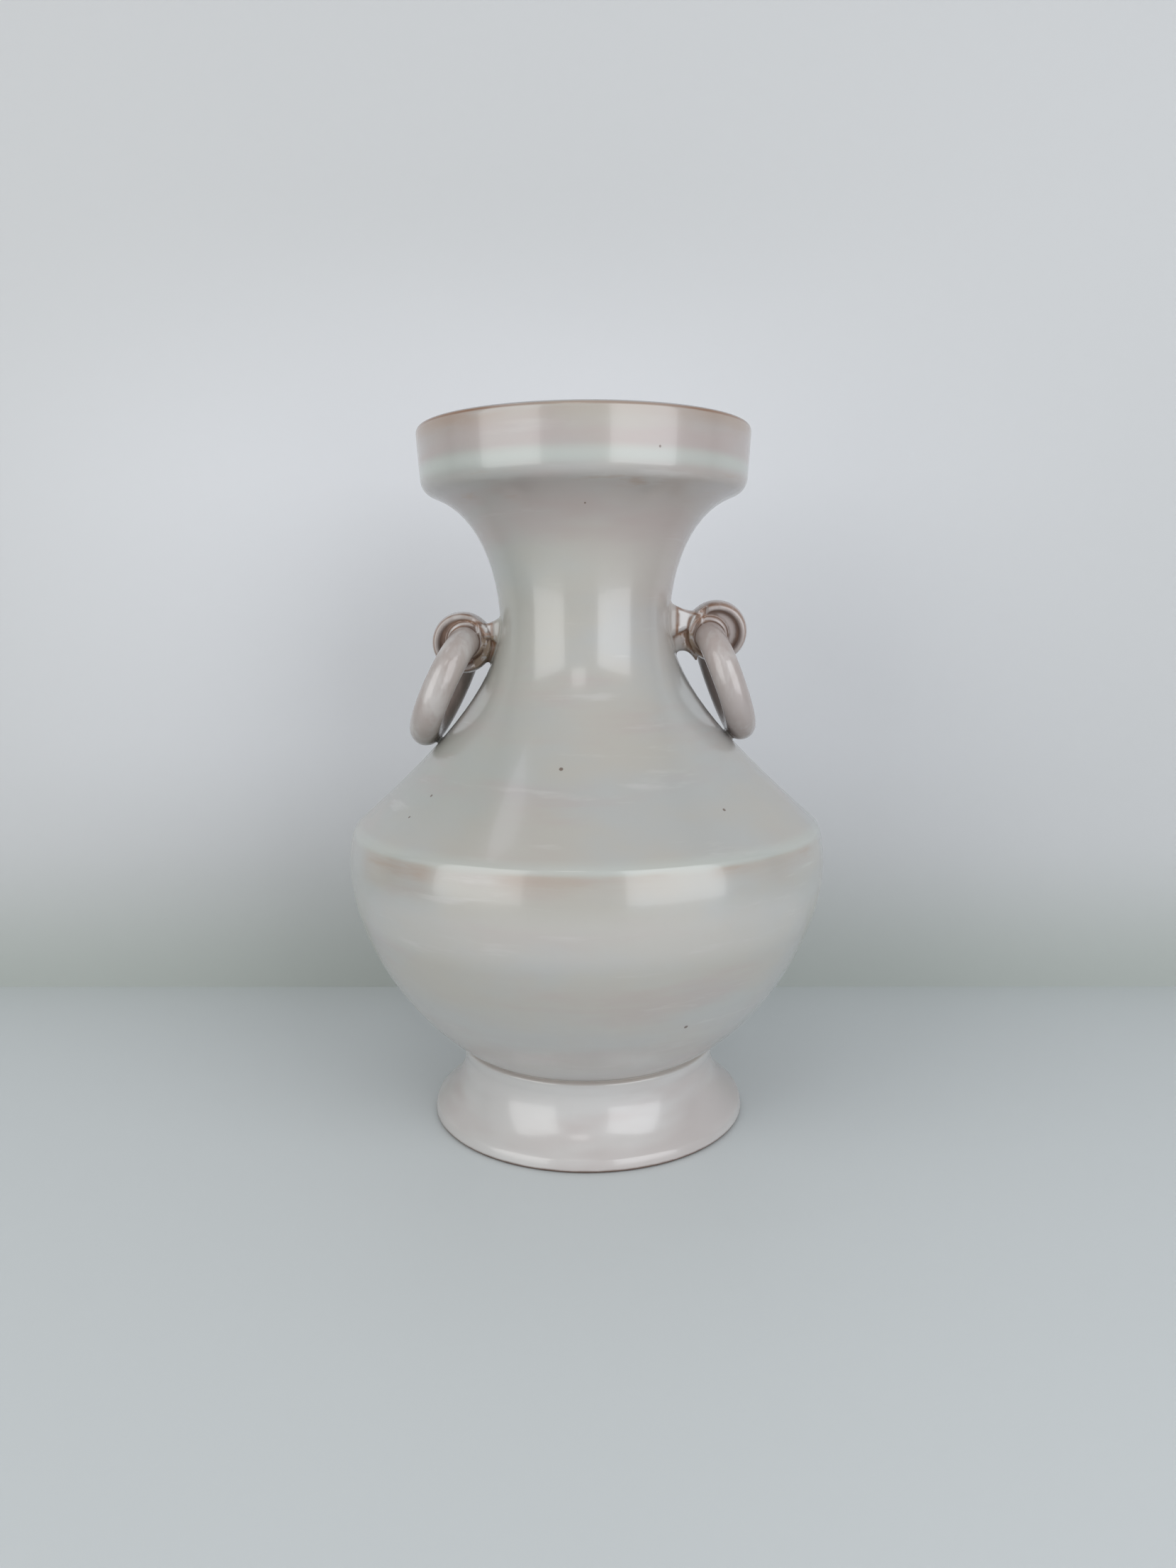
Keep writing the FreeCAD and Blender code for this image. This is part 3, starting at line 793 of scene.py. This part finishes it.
# Two tall windows, a small lamp between them and a lamp high on the left, as the glaze mirrors them
lights = {
    "ambient": 0.40,
    "ambientColour": (0.96, 0.98, 1.0),
    # azimuth in degrees from the front towards the right, distance, width, lower and upper edge in metres
    "lamps": {
        "left_window": {"azimuth": -48, "away": 0.80, "wide": 0.61, "low": 0.01, "high": 0.92,
                        "strength": 2.05, "tint": (1.0, 1.0, 1.0)},
        "right_window": {"azimuth": 39, "away": 0.80, "wide": 0.66, "low": 0.01, "high": 0.92,
                         "strength": 2.55, "tint": (0.95, 0.965, 1.0)},
        "middle_lamp": {"azimuth": -9, "away": 0.80, "wide": 0.26, "low": 0.93, "high": 1.22,
                        "strength": 2.3, "tint": (1.0, 1.0, 1.0)},
        "side_lamp": {"azimuth": -87, "away": 0.42, "wide": 0.16, "low": 0.86, "high": 1.35,
                      "strength": 1.35, "tint": (0.86, 0.85, 1.0)},
    },
}


def makeLights():
    for name, lamp in lights["lamps"].items():
        tall = lamp["high"] - lamp["low"]
        data = bpy.data.lights.new(name, "AREA")
        data.shape = "RECTANGLE"
        data.color = lamp["tint"]
        data.size = lamp["wide"]
        data.size_y = tall
        data.energy = lamp["strength"] * math.pi * lamp["wide"] * tall
        made = bpy.data.objects.new(name, data)
        bpy.context.scene.collection.objects.link(made)
        azimuth = math.radians(lamp["azimuth"])
        out = Vector((math.sin(azimuth), -math.cos(azimuth), 0))
        made.location = out * lamp["away"] + Vector((0, 0, (lamp["low"] + lamp["high"]) / 2))
        made.rotation_euler = out.to_track_quat("Z", "Y").to_euler()
        made.visible_camera = False
    world = bpy.data.worlds.new("room")
    world.use_nodes = True
    bpy.context.scene.world = world
    back = world.node_tree.nodes["Background"]
    back.inputs["Color"].default_value = (*lights["ambientColour"], 1)
    back.inputs["Strength"].default_value = lights["ambient"]
    print("lit by", len(lights["lamps"]), "lamps")


makeCamera()
soft, rows = softOutline(bodyOutline())
thrown = makeBody(rows)
print("body thrown")
outer = outsideOf(soft)
glazeMaterial = makeGlaze(outer)
pieces = [thrown] + [makeEar(name, ear, outer) for name, ear in ears["pair"].items()]
print("ears and rings melted")
for piece in pieces:
    piece.data.materials.clear()
    piece.data.materials.append(glazeMaterial)
    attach(piece, "root")
    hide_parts("vase")
    print(piece.name, len(piece.data.polygons), "faces")
makeTable()
makeWall()
makeLights()
bpy.context.scene.view_settings.view_transform = "Standard"
